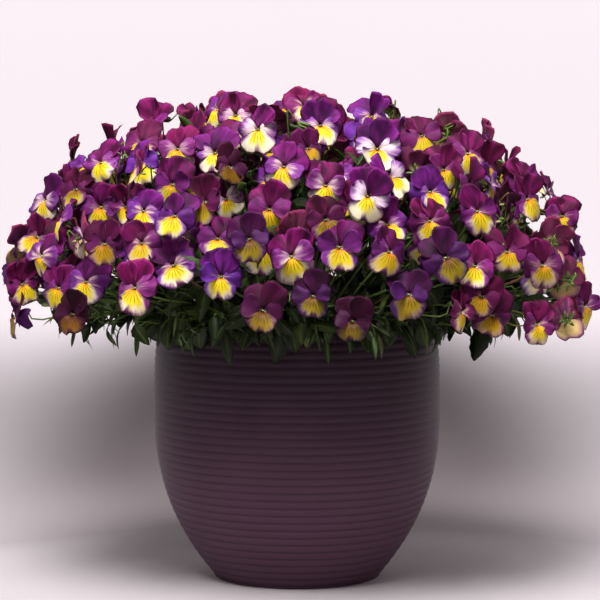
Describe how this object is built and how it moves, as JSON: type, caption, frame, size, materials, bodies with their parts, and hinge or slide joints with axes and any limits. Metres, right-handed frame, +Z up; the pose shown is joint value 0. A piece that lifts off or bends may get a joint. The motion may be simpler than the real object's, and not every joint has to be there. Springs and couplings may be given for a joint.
{
  "type": "potted pansy planter",
  "caption": "Dark ribbed barrel pot filled with potting mix, carrying a dense spreading mound of pansy plants in purple and yellow flower.",
  "frame": {"origin": "middle of the pot's underside, on the surface it stands on", "axes": "+Z up along the pot's axis, front of the planter towards -Y, +X to the right seen from the front"},
  "size_m": [0.6202, 0.5636, 0.5111],
  "materials": {
    "pot": "matte",
    "potting_mix": "matte",
    "stems": "satin",
    "leaves": "satin",
    "petals": "matte"
  },
  "bodies": {
    "root": {"pot": "pot", "potting_mix": "potting_mix", "front_plant_stems": "stems", "front_plant_leaves": "leaves", "front_plant_flower_01": "petals", "front_plant_flower_02": "petals", "front_plant_flower_03": "petals", "front_plant_flower_04": "petals", "front_plant_flower_05": "petals", "front_plant_flower_06": "petals", "front_plant_flower_07": "petals", "front_plant_flower_08": "petals", "front_plant_flower_09": "petals", "front_plant_flower_10": "petals", "front_plant_flower_11": "petals", "front_plant_flower_12": "petals", "right_plant_stems": "stems", "right_plant_leaves": "leaves", "right_plant_flower_01": "petals", "right_plant_flower_02": "petals", "right_plant_flower_03": "petals", "right_plant_flower_04": "petals", "right_plant_flower_05": "petals", "right_plant_flower_06": "petals", "right_plant_flower_07": "petals", "right_plant_flower_08": "petals", "right_plant_flower_09": "petals", "left_plant_stems": "stems", "left_plant_leaves": "leaves", "left_plant_flower_01": "petals", "left_plant_flower_02": "petals", "left_plant_flower_03": "petals", "left_plant_flower_04": "petals", "left_plant_flower_05": "petals", "left_plant_flower_06": "petals", "left_plant_flower_07": "petals", "left_plant_flower_08": "petals", "back_right_plant_stems": "stems", "back_right_plant_leaves": "leaves", "back_right_plant_flower_01": "petals", "back_right_plant_flower_02": "petals", "back_right_plant_flower_03": "petals", "back_right_plant_flower_04": "petals", "back_right_plant_flower_05": "petals", "back_left_plant_stems": "stems", "back_left_plant_leaves": "leaves", "back_left_plant_flower_01": "petals", "back_left_plant_flower_02": "petals", "back_left_plant_flower_03": "petals", "back_left_plant_flower_04": "petals", "back_left_plant_flower_05": "petals", "centre_plant_stems": "stems", "centre_plant_leaves": "leaves", "centre_plant_flower_01": "petals", "centre_plant_flower_02": "petals", "centre_plant_flower_03": "petals", "centre_plant_flower_04": "petals", "centre_plant_flower_05": "petals", "centre_plant_flower_06": "petals", "centre_plant_flower_07": "petals"}
  },
  "joints": []
}
